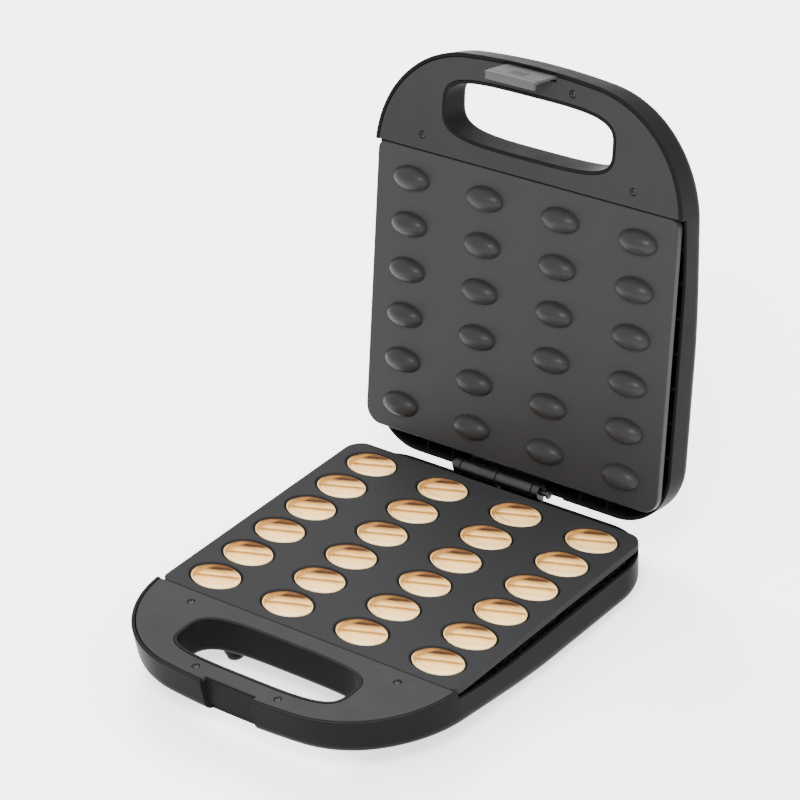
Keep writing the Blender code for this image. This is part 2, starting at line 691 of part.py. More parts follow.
def heat_shield(name, frame):
    """A sheet tray between the heater and the housing, with holes round the screw posts."""
    bm = bmesh.new()
    low = (-SHIELD_X, SHIELD_FRONT, SHIELD_DEPTH - SHIELD_LIP)
    high = (SHIELD_X, SHIELD_REAR, SHIELD_DEPTH)
    size = [b - a for a, b in zip(low, high)]
    middle = [(a + b) / 2 for a, b in zip(low, high)]
    bmesh.ops.create_cube(bm, size=1, matrix=Matrix.Translation(middle) @ Matrix.Diagonal((*size, 1)))
    open_side = [face for face in bm.faces if face.normal.z < -0.9]
    bmesh.ops.delete(bm, geom=open_side, context="FACES_ONLY")
    shield = part(name, mesh_from(bm, name), SHEET_STEEL, frame)
    sheet = shield.modifiers.new("sheet", "SOLIDIFY")
    sheet.thickness = SHEET
    sheet.offset = 1
    sheet.use_even_offset = True
    places = both_sides(((POST_X, -POST_Y), (POST_X, POST_Y)))
    cut(shield, tool(f"{name}_holes", rods("holes", 0.0062, 0.01, 0.05, places, sides=12), frame))


def hinge_bracket(name, frame):
    """A barrel and an ear on webs that rise from one flange; the other half's bracket interleaves with it."""
    x0 = HINGE_CENTRE[frame]
    where = (x0, HINGE_Y, 0)
    flange = boxes(name, ((EAR[0], -0.0082, FLANGE_DEPTH), (BARREL[1], 0.0018, FLANGE_DEPTH + FLANGE_THICKNESS)))
    bracket = part(name, flange, DARK_STEEL, frame, where)
    for label, (start, end) in (("barrel", BARREL), ("ear", EAR)):
        knuckle = rods(label, KNUCKLE_RADIUS, start, end, [(0, 0)], "X", 16)
        web = boxes(f"{label}_web", ((start + 0.0002, -WEB_HALF, 0.001), (end - 0.0002, WEB_HALF, FLANGE_DEPTH + 0.001)))
        join(bracket, tool(f"{name}_{label}", knuckle, frame, where), tool(f"{name}_{label}_web", web, frame, where))
    bore = rods("bore", PIN_RADIUS + PIN_PLAY, -0.05, 0.05, [(0, 0)], "X", 12)
    holes = rods("holes", 0.0014, 0.01, 0.03, [(side * HINGE_SCREW_X, -HINGE_SCREW_BACK) for side in (-1, 1)], sides=8)
    cut(bracket, tool(f"{name}_bore", bore, frame, where), tool(f"{name}_holes", holes, frame, where))


def hinge_pin():
    """A headed pin along the hinge, with a push-on cap at its far end."""
    turned(
        "hinge_pin",
        [(0, 0.0425), (0.0022, 0.0425), (0.0030, 0.0419), (0.0030, 0.0410), (PIN_RADIUS, 0.0410),
         (PIN_RADIUS, -0.0390), (PIN_RADIUS - 0.0005, -0.0395), (0, -0.0395)],
        STEEL, BASE, (-HINGE_X, HINGE_Y, 0), (0, -math.pi / 2, 0),
    )
    turned(
        "hinge_pin_cap",
        [(PIN_RADIUS + PIN_PLAY, 0), (0.0036, 0), (0.0036, -0.0010), (0.0030, -0.0016),
         (PIN_RADIUS + PIN_PLAY, -0.0016), (PIN_RADIUS + PIN_PLAY, 0)],
        DARK_STEEL, BASE, (-HINGE_X + 0.0364, HINGE_Y, 0), (0, -math.pi / 2, 0),
    )


# Lid

def upper_housing():
    shell = housing("upper_housing", LID)
    y, z = LATCH_PIVOT
    cheek = boxes("cheek", ((-0.0250, FRONT_Y, 0.0032), (0.0250, -0.1696, 0.0085)))
    join(shell, inner_tool("latch_cheek", cheek, LID))
    half = COVER_NOTCH_HALF
    relief = boxes("relief", ((-half, -0.1765, -0.01), (half, -0.1650, 0.0050)))
    upper_relief = boxes("upper_relief", ((-half, -0.1760, 0.0040), (half, -0.1650, 0.0100)))
    bore = rods("latch_bore", LATCH_PIN_RADIUS + PIN_PLAY, -0.0242, 0.0242, [(y, z)], "X", 10)
    notch = boxes("hinge_notch", ((HINGE_X - 0.0385, HINGE_Y - 0.004, -0.01), (HINGE_X + 0.0460, 0.2, 0.0125)))
    lamps = rods("lamp_holes", 0.0043, 0.02, 0.05, LAMPS, sides=12)
    cut(
        shell,
        tool("latch_relief", relief, LID),
        tool("latch_upper_relief", upper_relief, LID),
        tool("latch_bore", bore, LID),
        tool("hinge_notch", notch, LID),
        tool("lamp_holes", lamps, LID),
    )


def indicators():
    surface = depth_at(0)
    for name, material, (x, y) in zip(("power_lamp_lens", "ready_lamp_lens"), (RED_LENS, GREEN_LENS), LAMPS):
        turned(
            name, [(0, 0.0010), (0.0022, 0.0008), (0.0040, 0.0), (0.0040, -0.0035), (0, -0.0035)],
            material, LID, (x, y, surface), sides=14,
        )
    holder = boxes("lamp_holder", ((-0.0200, -0.0070, -0.0058), (0.0200, 0.0070, -0.0040)))
    part("lamp_holder", holder, CERAMIC, LID, (0, 0, surface))


def latch():
    """The latch plate on its knuckles, with a hook lip at its free end; its origin is its pivot."""
    y0, z0 = LATCH_PIVOT
    plate_box = boxes("latch", ((-LATCH_HALF, LATCH_FRONT - y0, LATCH_END - z0),
                                (LATCH_HALF, LATCH_BACK - y0, -0.0012)))
    body = part("latch", plate_box, LATCH_GREY, LATCH_AXIS)
    hook = boxes("hook", ((-LATCH_HALF + 0.0004, LATCH_BACK - y0 - 0.001, LATCH_END - z0 + 0.0002),
                          (LATCH_HALF - 0.0004, HOOK_BACK - y0, HOOK_TOP - z0)))
    join(body, tool("latch_hook", hook, LATCH_AXIS))
    for side, label in ((-1, "left"), (1, "right")):
        start, end = sorted((side * 0.0080, side * 0.0196))
        knuckle = rods(f"latch_knuckle_{label}", LATCH_KNUCKLE, start, end, [(0, 0)], "X", 14)
        join(body, tool(f"latch_knuckle_{label}", knuckle, LATCH_AXIS))
    bore = rods("bore", LATCH_PIN_RADIUS + PIN_PLAY, -0.03, 0.03, [(0, 0)], "X", 10)
    spring_room = boxes("spring_room", ((-0.0052, -0.01, -0.0023), (0.0052, 0.01, 0.01)))
    cut(body, tool("latch_pin_bore", bore, LATCH_AXIS), tool("latch_spring_room", spring_room, LATCH_AXIS))
    part("latch_pin", rods("latch_pin", LATCH_PIN_RADIUS, -0.0239, 0.0239, [LATCH_PIVOT], "X", 10), STEEL, LID)


def latch_spring():
    """A torsion spring round the latch pin, one leg down behind the latch and one up into the lid."""
    coil = []
    steps = 8
    for step in range(SPRING_TURNS * steps + 1):
        turn = 2 * math.pi * step / steps
        along = SPRING_HALF * (2 * step / (SPRING_TURNS * steps) - 1)
        coil.append((along, SPRING_RADIUS * math.cos(turn), SPRING_RADIUS * math.sin(turn)))
    lower_leg = (-SPRING_HALF, SPRING_RADIUS, -0.0045)
    upper_leg = (SPRING_HALF, SPRING_RADIUS, 0.0045)
    tube("latch_spring", [lower_leg] + coil + [upper_leg], SPRING_WIRE, STEEL, LATCH_AXIS, resolution=0)


def base_half():
    lower_housing()
    cord_gland()
    feet()
    handle_cover("lower_handle_cover", BASE)
    lower_plate()
    heating_element("lower_heating_element", BASE)
    heat_shield("lower_heat_shield", BASE)
    thermostat("thermostat", BASE)
    thermal_fuse()
    terminal_block()
    hinge_bracket("lower_hinge_bracket", BASE)
    hinge_pin()
    screws("lower", BASE)


def lid_half():
    upper_housing()
    handle_cover("upper_handle_cover", LID)
    upper_plate()
    heating_element("upper_heating_element", LID)
    heat_shield("upper_heat_shield", LID)
    thermostat("upper_thermal_cutout", LID)
    hinge_bracket("upper_hinge_bracket", LID)
    screws("upper", LID)
    indicators()
    latch()
    latch_spring()


ENVELOPE = tool("housing_envelope", housing_envelope("housing_envelope", FIT_GAP), BASE)
CORES = {
    frame: tool(f"{label}_core", housing_envelope("core", -WALL * 0.4), frame)
    for label, frame in (("base", BASE), ("lid", LID))
}
base_half()
lid_half()
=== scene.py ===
"""Looks for the nut cookie maker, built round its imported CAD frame.

Both halves share one half frame: its origin is the middle of the mould grid in the parting plane, +Y
points at the hinge and +Z points out of the appliance. The base is that frame turned half a turn about Y,
and the lid's frame hangs open from the hinge axis. Lengths are metres.
"""

import json
import math

import bmesh
import bpy
from mathutils import Matrix, Vector


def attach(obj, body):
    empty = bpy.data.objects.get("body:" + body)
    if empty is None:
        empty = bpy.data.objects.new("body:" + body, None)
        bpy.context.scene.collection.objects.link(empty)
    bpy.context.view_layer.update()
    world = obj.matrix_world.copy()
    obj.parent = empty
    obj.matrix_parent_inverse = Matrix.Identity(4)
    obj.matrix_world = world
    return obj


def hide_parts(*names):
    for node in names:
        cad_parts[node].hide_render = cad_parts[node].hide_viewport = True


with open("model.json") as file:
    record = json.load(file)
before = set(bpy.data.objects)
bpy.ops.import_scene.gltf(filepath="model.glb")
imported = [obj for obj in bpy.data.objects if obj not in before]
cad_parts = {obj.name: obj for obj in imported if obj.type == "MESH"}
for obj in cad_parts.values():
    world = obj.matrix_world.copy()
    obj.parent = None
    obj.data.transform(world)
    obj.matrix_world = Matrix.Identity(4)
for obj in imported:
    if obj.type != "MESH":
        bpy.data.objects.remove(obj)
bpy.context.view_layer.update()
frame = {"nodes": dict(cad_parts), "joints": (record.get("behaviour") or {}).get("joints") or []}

# Placement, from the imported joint
HINGE = next(joint for joint in frame["joints"] if joint["name"] == "lid_hinge")
HINGE_Y = 0.1101
GRID_Y = HINGE["pos_m"][1] - HINGE_Y
PARTING_HEIGHT = HINGE["pos_m"][2]
OPEN_ANGLE = math.radians(HINGE["range_deg"][1])
BASE = Matrix.Translation((0, GRID_Y, PARTING_HEIGHT)) @ Matrix.Rotation(math.pi, 4, "Y")
LID = (
    Matrix.Translation(HINGE["pos_m"])
    @ Matrix.Rotation(-OPEN_ANGLE, 4, "X")
    @ Matrix.Translation((0, -HINGE_Y, 0))
)
HINGE_X = {"base": 0.0053, "lid": -0.0053}
HALF = {"base": BASE, "lid": LID, "latch": LID}

# Mould grid
COLUMNS, ROWS = 4, 6
COLUMN_PITCH, ROW_PITCH = 0.0620, 0.0323
CAVITY = (0.0205, 0.0140, 0.0120)  # half length, half width, depth
BUMP = (0.0151, 0.0087, 0.0080)

# Housing, drawn up to 0.3 mm inside the coarser CAD facets
HALF_WIDTH = 0.1259
FRONT_Y, REAR_Y = -0.1782, 0.1164
FRONT_BOW, FRONT_CORNER, REAR_CORNER = 0.5500, 0.0800, 0.0415
HANDLE_DEPTH, BODY_DEPTH = 0.0260, 0.0388
HANDLE_FILLET, BODY_FILLET = 0.0095, 0.0130
RAMP_START, RAMP_END = -0.1500, 0.0
WALL, DRAFT = 0.0025, 0.0015
PARTING_GAP = 0.0002
RIM_FRONT, RIM_REAR, RIM_END = 0.0052, 0.0105, -0.0400
RIM_ROUND = 0.0006

# Handle
SLOT_Y, SLOT_HALF, SLOT_POWER = -0.1371, (0.0680, 0.0203), 3.8
SLOT_FILLET, SLOT_WALL = 0.0070, 0.0022
COVER_REAR, COVER_THICKNESS, COVER_TOP = -0.1026, 0.0025, 0.0003
HANDLE_SCREWS = ((0.0862, -0.1128), (0.0341, -0.1663))

# Plates
PLATE_HALF_WIDTH, PLATE_FRONT, PLATE_REAR = 0.1230, -0.1017, 0.1004
PLATE_FRONT_CORNER, PLATE_REAR_CORNER = 0.0060, 0.0124
PLATE_TOP, PLATE_THICKNESS, SKIRT_DEPTH, SKIRT_WALL = 0.0004, 0.0028, 0.0052, 0.0022
PLATE_EDGE, PLATE_FIT = 0.0008, 0.0004
POST_X, POST_Y, POST_END = 0.0620, 0.0646, 0.0205

# Half shells: their size beside the moulds', and how far their stripes of painted light and shade run across
# the moulds
SHELL_FIT, STRIPE_SKEW = 0.92, 0.38

# Hinge
KNUCKLE_RADIUS, PIN_RADIUS, PIN_PLAY = 0.00525, 0.0020, 0.00025
BARREL, EAR = (0.0005, 0.0295), (-0.0359, -0.0305)
WEB_HALF, FLANGE_DEPTH, FLANGE_THICKNESS = 0.0016, 0.0150, 0.0025
HINGE_SCREW_X, HINGE_SCREW_BACK = 0.0220, 0.0054

# Latch
LATCH_HALF = 0.0200
LATCH_PIVOT = (-0.1732, 0.0050)
LATCH_FRONT, LATCH_BACK, LATCH_END = -0.1752, -0.1726, -0.0223
HOOK_BACK, HOOK_TOP = -0.1696, -0.0198
LATCH_PIN_RADIUS, LATCH_KNUCKLE = 0.0012, 0.0025
COVER_NOTCH_HALF, COVER_NOTCH_BACK = 0.0212, -0.1712
RECESS_HALF, RECESS_FLOOR = 0.0209, -0.1723
HOOK_SLOT_BACK, CATCH_LEDGE = -0.1690, 0.0194

# Feet and fittings
FEET = {"front": (0.0650, -0.1000), "rear": (0.0820, 0.0910)}
FOOT_TOP, FOOT_BOTTOM, PAD_HEIGHT = 0.0120, 0.0065, 0.0025
GLAND_X, GLAND_DEPTH, GLAND_HOLE = 0.0750, 0.0205, 0.0036
LAMPS = {"power": (-0.0120, 0.0), "ready": (0.0120, 0.0)}
FIT_GAP = 0.0003
TINY = 1e-6


# Materials

class Nodes:
    """A material's node tree, with short ways to add and join nodes."""

    def __init__(self, name, roughness, metallic=0.0, specular=0.5):
        self.material = bpy.data.materials.new(name)
        self.material.use_nodes = True
        self.tree = self.material.node_tree
        self.shader = self.tree.nodes["Principled BSDF"]
        self.shader.inputs["Metallic"].default_value = metallic
        self.shader.inputs["Roughness"].default_value = roughness
        self.shader.inputs["Specular IOR Level"].default_value = specular
        self.place = self.add("ShaderNodeTexCoord").outputs["Object"]

    def add(self, kind, **inputs):
        node = self.tree.nodes.new(kind)
        for name, value in inputs.items():
            socket = node.inputs[name.replace("_", " ")]
            if isinstance(value, bpy.types.NodeSocket):
                self.tree.links.new(value, socket)
            else:
                socket.default_value = value
        return node

    def link(self, output, socket):
        self.tree.links.new(output, self.shader.inputs[socket])

    def noise(self, scale, detail=3.0, stretch=None):
        place = self.place
        if stretch:
            place = self.add("ShaderNodeMapping", Vector=place, Scale=stretch).outputs["Vector"]
        node = self.add("ShaderNodeTexNoise", Vector=place, Scale=scale, Detail=detail, Roughness=0.55)
        return node.outputs["Fac"]

    def ramp(self, factor, *stops):
        """stops are (position, value) with a value or a colour."""
        node = self.add("ShaderNodeValToRGB", Fac=factor)
        elements = node.color_ramp.elements
        while len(elements) < len(stops):
            elements.new(0.5)
        for element, (position, value) in zip(elements, stops):
            element.position = position
            element.color = (*value, 1) if isinstance(value, tuple) else (value, value, value, 1)
        return node.outputs["Color"]

    def bump(self, height, strength, distance):
        node = self.add("ShaderNodeBump", Height=height, Strength=strength, Distance=distance)
        self.link(node.outputs["Normal"], "Normal")


def shade(color, factor):
    return tuple(channel * factor for channel in color)


def moulded_plastic(name, color, roughness, grain, depth, specular):
    """Satin plastic with a spark-eroded grain, faint flow marks and uneven sheen."""
    made = Nodes(name, roughness, specular=specular)
    flow = made.noise(14, 4)
    made.link(made.ramp(flow, (0.35, shade(color, 0.95)), (0.65, shade(color, 1.05))), "Base Color")
    made.link(made.ramp(made.noise(60, 5), (0.3, roughness - 0.04), (0.7, roughness + 0.05)), "Roughness")
    made.bump(made.noise(grain, 2), 0.35, depth)
    return made.material


def nonstick(name, color, specular):
    """Sprayed non-stick coating over cast aluminium: orange peel with fine flecks."""
    made = Nodes(name, 0.40, specular=specular)
    flecks = made.ramp(
        made.noise(5200, 1), (0.25, shade(color, 0.86)), (0.62, color), (0.80, shade(color, 1.5)))
    made.link(flecks, "Base Color")
    made.link(made.ramp(made.noise(45, 4), (0.3, 0.34), (0.7, 0.41)), "Roughness")
    made.bump(made.noise(1400, 3), 0.25, 0.00006)
    return made.material


def metal(name, color, roughness, stretch=None, scale=900):
    """Metal with drawn or rolled streaks and slight tarnish."""
    made = Nodes(name, roughness, metallic=1.0)
    streaks = made.noise(scale, 4, stretch)
    made.link(made.ramp(made.noise(70, 4), (0.3, shade(color, 0.82)), (0.7, color)), "Base Color")
    made.link(made.ramp(streaks, (0.25, roughness - 0.07), (0.75, roughness + 0.09)), "Roughness")
    made.bump(streaks, 0.2, 0.00004)
    return made.material


def rubber():
    made = Nodes("soft_rubber", 0.78, specular=0.3)
    color = (0.020, 0.020, 0.021)
    made.link(made.ramp(made.noise(120, 4), (0.3, shade(color, 0.8)), (0.7, shade(color, 1.5))), "Base Color")
    made.link(made.ramp(made.noise(300, 3), (0.3, 0.70), (0.7, 0.86)), "Roughness")
    made.bump(made.noise(2600, 2), 0.5, 0.00008)
    return made.material


def ceramic():
    made = Nodes("glazed_ceramic", 0.42)
    glaze = made.ramp(made.noise(260, 4), (0.3, (0.66, 0.63, 0.57)), (0.7, (0.77, 0.75, 0.70)))
    made.link(glaze, "Base Color")
    made.link(made.ramp(made.noise(90, 3), (0.3, 0.36), (0.7, 0.52)), "Roughness")
    made.bump(made.noise(1800, 2), 0.3, 0.00005)
    return made.material


def lens(name, color):
    """A moulded indicator lens with faint prisms inside."""
    made = Nodes(name, 0.12)
    made.shader.inputs["Coat Weight"].default_value = 0.6
    made.link(made.ramp(made.noise(1500, 2), (0.3, shade(color, 0.7)), (0.7, color)), "Base Color")
    made.link(made.ramp(made.noise(200, 2), (0.3, 0.10), (0.7, 0.18)), "Roughness")
    made.bump(made.noise(1100, 1), 0.15, 0.00005)
    return made.material


def baked_dough():
    """Biscuit: cream crumb with a lengthwise crease that is only a painted line of shade, golden painted
    shade at one end, and brown along the back that is partly crust and partly painted shade of the far wall.

    The mesh carries how far each point lies to the back, towards the golden end, and up its rim.
    """
    made = Nodes("baked_dough", 0.62, specular=0.2)
    back, end, crest = (made.add("ShaderNodeAttribute") for _ in range(3))
    back.attribute_name, end.attribute_name, crest.attribute_name = "back", "end", "crest"
    streaks = made.noise(520, 3, (0.12, 1, 1))
    place = made.add("ShaderNodeMix", Factor=0.05, A=back.outputs["Fac"], B=streaks).outputs["Result"]
    cream, tan, painted_crease_shade = (0.88, 0.59, 0.23), (0.34, 0.18, 0.045), (0.32, 0.15, 0.020)
    crust_and_wall_shade_brown, painted_far_wall_shade = (0.10, 0.038, 0.007), (0.034, 0.009, 0.001)
    # Painted light and shade across each shell: a bright lit front, a dark painted shade line at the crease,
    # a painted light band behind it, then painted shade down the far wall
    across = made.ramp(
        place, (0.05, (0.98, 0.70, 0.34)), (0.16, (0.86, 0.56, 0.20)), (0.31, cream),
        (0.39, (0.74, 0.44, 0.13)), (0.44, painted_crease_shade), (0.475, painted_crease_shade), (0.52, (0.88, 0.55, 0.20)),
        (0.60, (0.70, 0.41, 0.13)), (0.69, tan), (0.735, painted_far_wall_shade), (0.79, painted_far_wall_shade),
        (0.845, (0.14, 0.055, 0.010)), (0.90, crust_and_wall_shade_brown), (0.96, painted_far_wall_shade))
    # Painted shade on the golden end wall
    golden_end_shade = made.ramp(made.noise(600, 4), (0.3, (0.28, 0.11, 0.012)), (0.7, (0.44, 0.21, 0.040)))
    mixed = made.add("ShaderNodeMix")
    mixed.data_type = "RGBA"
    rim = made.add("ShaderNodeMix")
    rim.data_type = "RGBA"
    # Rim: painted highlight at the front, brown at the back that is partly crust and partly painted shade
    edge = made.ramp(
        back.outputs["Fac"], (0.10, (0.98, 0.74, 0.38)), (0.62, (0.76, 0.46, 0.14)), (0.80, crust_and_wall_shade_brown))
    for node, factor, a, b in (
        (mixed, made.ramp(end.outputs["Fac"], (0.76, 0.0), (0.86, 0.9)), across, golden_end_shade),
        (rim, crest.outputs["Fac"], mixed.outputs[2], edge),
    ):
        for socket, source in zip((node.inputs[0], node.inputs[6], node.inputs[7]), (factor, a, b)):
            made.tree.links.new(source, socket)
    made.link(rim.outputs[2], "Base Color")
    made.link(made.ramp(made.noise(500, 4), (0.3, 0.52), (0.7, 0.74)), "Roughness")
    made.bump(made.noise(1300, 5), 0.4, 0.00010)
    return made.material


HOUSING = moulded_plastic("housing_plastic", (0.0066, 0.0067, 0.0069), 0.40, 3200, 0.00005, 0.015)
COVER = moulded_plastic("cover_plastic", (0.0215, 0.0217, 0.0221), 0.46, 2600, 0.00006, 0.022)
LATCH = moulded_plastic("latch_plastic", (0.056, 0.0566, 0.0578), 0.42, 3000, 0.00005, 0.06)
NONSTICK = {
    "base": nonstick("mould_coating", (0.0225, 0.0225, 0.0234), 0.006),
    "lid": nonstick("stud_coating", (0.0165, 0.0165, 0.0171), 0.11),
}
STEEL = metal("zinc_plated_steel", (0.32, 0.32, 0.33), 0.34)
SCREW_STEEL = metal("blackened_screw", (0.035, 0.035, 0.036), 0.40)
DARK_STEEL = metal("blackened_steel", (0.045, 0.045, 0.047), 0.38, (0.15, 1, 1))
SHEET = metal("aluminised_sheet", (0.62, 0.63, 0.64), 0.38, (0.08, 1, 1), 500)
RUBBER = rubber()
CERAMIC = ceramic()
LENSES = {
    "power": lens("power_lens", (0.60, 0.02, 0.02)),
    "ready": lens("ready_lens", (0.03, 0.45, 0.06)),
}
DOUGH = baked_dough()


# Pieces and their meshes

def mesh_from(bm, name):
    bmesh.ops.recalc_face_normals(bm, faces=bm.faces)
    mesh = bpy.data.meshes.new(name)
    bm.to_mesh(mesh)
    bm.free()
    return mesh


def add(name, mesh):
    obj = bpy.data.objects.new(name, mesh)
    bpy.context.scene.collection.objects.link(obj)
    return obj


def bake(obj):
    """Turns the object's modifiers into its mesh."""
    graph = bpy.context.evaluated_depsgraph_get()
    mesh = bpy.data.meshes.new_from_object(obj.evaluated_get(graph))
    obj.modifiers.clear()
    obj.data = mesh


def combine(obj, operation, *meshes):
    """Joins meshes to the object, or cuts them from it."""
    for mesh in meshes:
        other = add("tool", mesh)
        boolean = obj.modifiers.new("boolean", "BOOLEAN")
        boolean.operation, boolean.solver, boolean.object = operation, "EXACT", other
        bake(obj)
        bpy.data.objects.remove(other)


def join(obj, *meshes):
    combine(obj, "UNION", *meshes)


def cut(obj, *meshes):
    combine(obj, "DIFFERENCE", *meshes)


def trimmed(mesh, block):
    """The part of a mesh that lies inside a block."""
    obj = add("trimmed", mesh)
    combine(obj, "INTERSECT", block.copy())
    found = obj.data
    bpy.data.objects.remove(obj)
    return found


def soften(obj, width, segments=2, angle=40):
    bevel = obj.modifiers.new("bevel", "BEVEL")
    bevel.width, bevel.segments = width, segments
    bevel.limit_method, bevel.angle_limit = "ANGLE", math.radians(angle)
    bevel.use_clamp_overlap = True
    bake(obj)


def done(obj, body, material, replaces=(), place=None, sharp=30):
    """Gives a piece its place in the world, finish and smooth shading, and fixes it to its body."""
    obj.data.materials.clear()
    obj.data.materials.append(material)
    obj.data.shade_smooth()
    obj.data.set_sharp_from_angle(angle=math.radians(sharp))
    weighted = obj.modifiers.new("weighted", "WEIGHTED_NORMAL")
    weighted.keep_sharp = True
    bake(obj)
    obj.data.transform(HALF[body] @ (place or Matrix()))
    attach(obj, body)
    if replaces:
        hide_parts(*replaces)
    return obj


def skin(bm, rings):
    """Joins rings of points into a tube, and returns their vertices."""
    rows = [[bm.verts.new(point) for point in ring] for ring in rings]
    for upper, lower in zip(rows, rows[1:]):
        for i in range(len(upper)):
            j = (i + 1) % len(upper)
            bm.faces.new((upper[i], upper[j], lower[j], lower[i]))
    return rows


def loft(name, rings):
    """A closed solid through rings whose first and last ones are flat."""
    bm = bmesh.new()
    rows = skin(bm, rings)
    bm.faces.new(rows[0])
    bm.faces.new(rows[-1])
    return mesh_from(bm, name)


def boxes(*corner_pairs):
    bm = bmesh.new()
    for low, high in corner_pairs:
        size = [b - a for a, b in zip(low, high)]
        middle = [(a + b) / 2 for a, b in zip(low, high)]
        bmesh.ops.create_cube(bm, size=1, matrix=Matrix.Translation(middle) @ Matrix.Diagonal((*size, 1)))
    return mesh_from(bm, "boxes")


def rods(radius, start, end, places, axis="Z", sides=32, end_radius=None):
    """Cylinders or cones from start to end along an axis, one through each place."""
    turn = {
        "X": Matrix.Rotation(math.pi / 2, 4, "Y"), "Y": Matrix.Rotation(-math.pi / 2, 4, "X"), "Z": Matrix(),
    }
    bm = bmesh.new()
    middle = (start + end) / 2
    for a, b in places:
        centre = {"Z": (a, b, middle), "X": (middle, a, b), "Y": (a, middle, b)}[axis]
        bmesh.ops.create_cone(
            bm, cap_ends=True, segments=sides, radius1=radius, radius2=end_radius or radius,
            depth=end - start, matrix=Matrix.Translation(centre) @ turn[axis],
        )
    return mesh_from(bm, "rods")


def turned(name, profile, sides=48):
    """A solid turned about Z from (radius, height) points."""
    bm = bmesh.new()
    poles = [point for point in (profile[0], profile[-1]) if point[0] < TINY]
    turns = [2 * math.pi * i / sides for i in range(sides)]
    rings = [[(r * math.cos(turn), r * math.sin(turn), z) for turn in turns] for r, z in profile if r > TINY]
    if not poles:
        rings.append(rings[0])
    rows = skin(bm, rings)
    for pole, row in zip(poles, (rows[0], rows[-1])):
        tip = bm.verts.new((0, 0, pole[1]))
        for i in range(sides):
            bm.faces.new((row[i], row[(i + 1) % sides], tip))
    bmesh.ops.remove_doubles(bm, verts=bm.verts, dist=TINY)
    return mesh_from(bm, name)


def rounded(profile, radius, steps=4):
    """The profile with its inner corners rounded."""
    found = [profile[0]]
    for before, corner, after in zip(profile, profile[1:], profile[2:]):
        corner = Vector(corner)
        inwards = [(Vector(point) - corner) for point in (before, after)]
        reach = min(radius, *(side.length * 0.45 for side in inwards))
        start, end = (corner + side.normalized() * reach for side in inwards)
        for step in range(steps + 1):
            t = step / steps
            point = start * (1 - t) ** 2 + corner * (2 * t * (1 - t)) + end * t**2
            found.append(tuple(point))
    return found + [profile[-1]]


# Outlines: points (x, y, normal x, normal y)

def arc(centre, radius, start, end, steps):
    found = []
    for step in range(steps + 1):
        turn = math.radians(start + (end - start) * step / steps)
        nx, ny = math.cos(turn), math.sin(turn)
        found.append((centre[0] + radius * nx, centre[1] + radius * ny, nx, ny))
    return found


def mirrored(half):
    return half + [(-x, y, -nx, ny) for x, y, nx, ny in reversed(half) if x > TINY]


def housing_outline():
    """Round the housing, with a sharp step in the sides where the handle ends."""
    bow_centre = FRONT_Y + FRONT_BOW
    corner_x = HALF_WIDTH - FRONT_CORNER
    reach = FRONT_BOW - FRONT_CORNER
    corner_y = bow_centre - math.sqrt(reach**2 - corner_x**2)
    bow_end = -90 + math.degrees(math.asin(corner_x / reach))
    half = arc((0, bow_centre), FRONT_BOW, -90, bow_end, 10)
    half += arc((corner_x, corner_y), FRONT_CORNER, bow_end, 0, 28)[1:]
    side_end = REAR_Y - REAR_CORNER
    half += [(HALF_WIDTH, corner_y + (side_end - corner_y) * step / 36, 1, 0) for step in range(1, 36)]
    half += arc((HALF_WIDTH - REAR_CORNER, side_end), REAR_CORNER, 0, 90, 20)
    return mirrored(split_at(half, PLATE_FRONT - PLATE_FIT))


def split_at(half, y):
    """Puts two points close together where the outline crosses y."""
    found = [half[0]]
    for a, b in zip(half, half[1:]):
        if a[1] < y <= b[1]:
            for place in (y - 0.00005, y + 0.00005):
                t = (place - a[1]) / (b[1] - a[1])
                found.append(tuple(p + (q - p) * t for p, q in zip(a, b)))
        found.append(b)
    return found


def plate_outline():
    x, front, rear = PLATE_HALF_WIDTH, PLATE_FRONT_CORNER, PLATE_REAR_CORNER
    half = arc((x - front, PLATE_FRONT + front), front, -90, 0, 8)
    half += arc((x - rear, PLATE_REAR - rear), rear, 0, 90, 12)
    return mirrored(half)


def slot_outline(sides=120):
    """The finger slot from its front centre."""
    found = []
    (a, b), power = SLOT_HALF, SLOT_POWER
    for side in range(sides):
        turn = 2 * math.pi * side / sides
        c, s = math.sin(turn), -math.cos(turn)
        stretch = (abs(c) ** power + abs(s) ** power) ** (-1 / power)
        x, y = a * c * stretch, b * s * stretch
        nx = math.copysign(abs(x / a) ** (power - 1) / a, x)
        ny = math.copysign(abs(y / b) ** (power - 1) / b, y)
        length = math.hypot(nx, ny)
        found.append((x, SLOT_Y + y, nx / length, ny / length))
    return found


def ring(outline, grow, depth):
    return [(x + nx * grow, y + ny * grow, depth) for x, y, nx, ny in outline]


def grid_places():
    return [
        ((column - (COLUMNS - 1) / 2) * COLUMN_PITCH, (row - (ROWS - 1) / 2) * ROW_PITCH)
        for column in range(COLUMNS)
        for row in range(ROWS)
    ]


def both_sides(places):
    return [(side * x, y) for x, y in places for side in (-1, 1)]


# Housings

def ramp(y):
    t = min(max((y - RAMP_START) / (RAMP_END - RAMP_START), 0), 1)
    return t * t * (3 - 2 * t)


def depth_at(y):
    return HANDLE_DEPTH + (BODY_DEPTH - HANDLE_DEPTH) * ramp(y)


def fillet_at(y):
    return HANDLE_FILLET + (BODY_FILLET - HANDLE_FILLET) * ramp(y)


def wall_ring(outline, inwards, tilt):
    """A ring of the filleted edge, inwards from the outer face, where the surface tilts by so much."""
    found = []
    for x, y, nx, ny in outline:
        fillet = fillet_at(y)
        inset = DRAFT + fillet - (fillet - inwards) * math.cos(tilt)
        depth = depth_at(y) - fillet + (fillet - inwards) * math.sin(tilt)
        found.append((x - nx * inset, y - ny * inset, depth))
    return found


def rim(y):
    """How far the rim lies below the parting plane: level round the handle, falling beside the plate."""
    start = PLATE_FRONT - PLATE_FIT
    if y < start:
        return PARTING_GAP
    left = 1 - min((y - start) / (RIM_END - start), 1)
    return RIM_REAR - (RIM_REAR - RIM_FRONT) * left**2


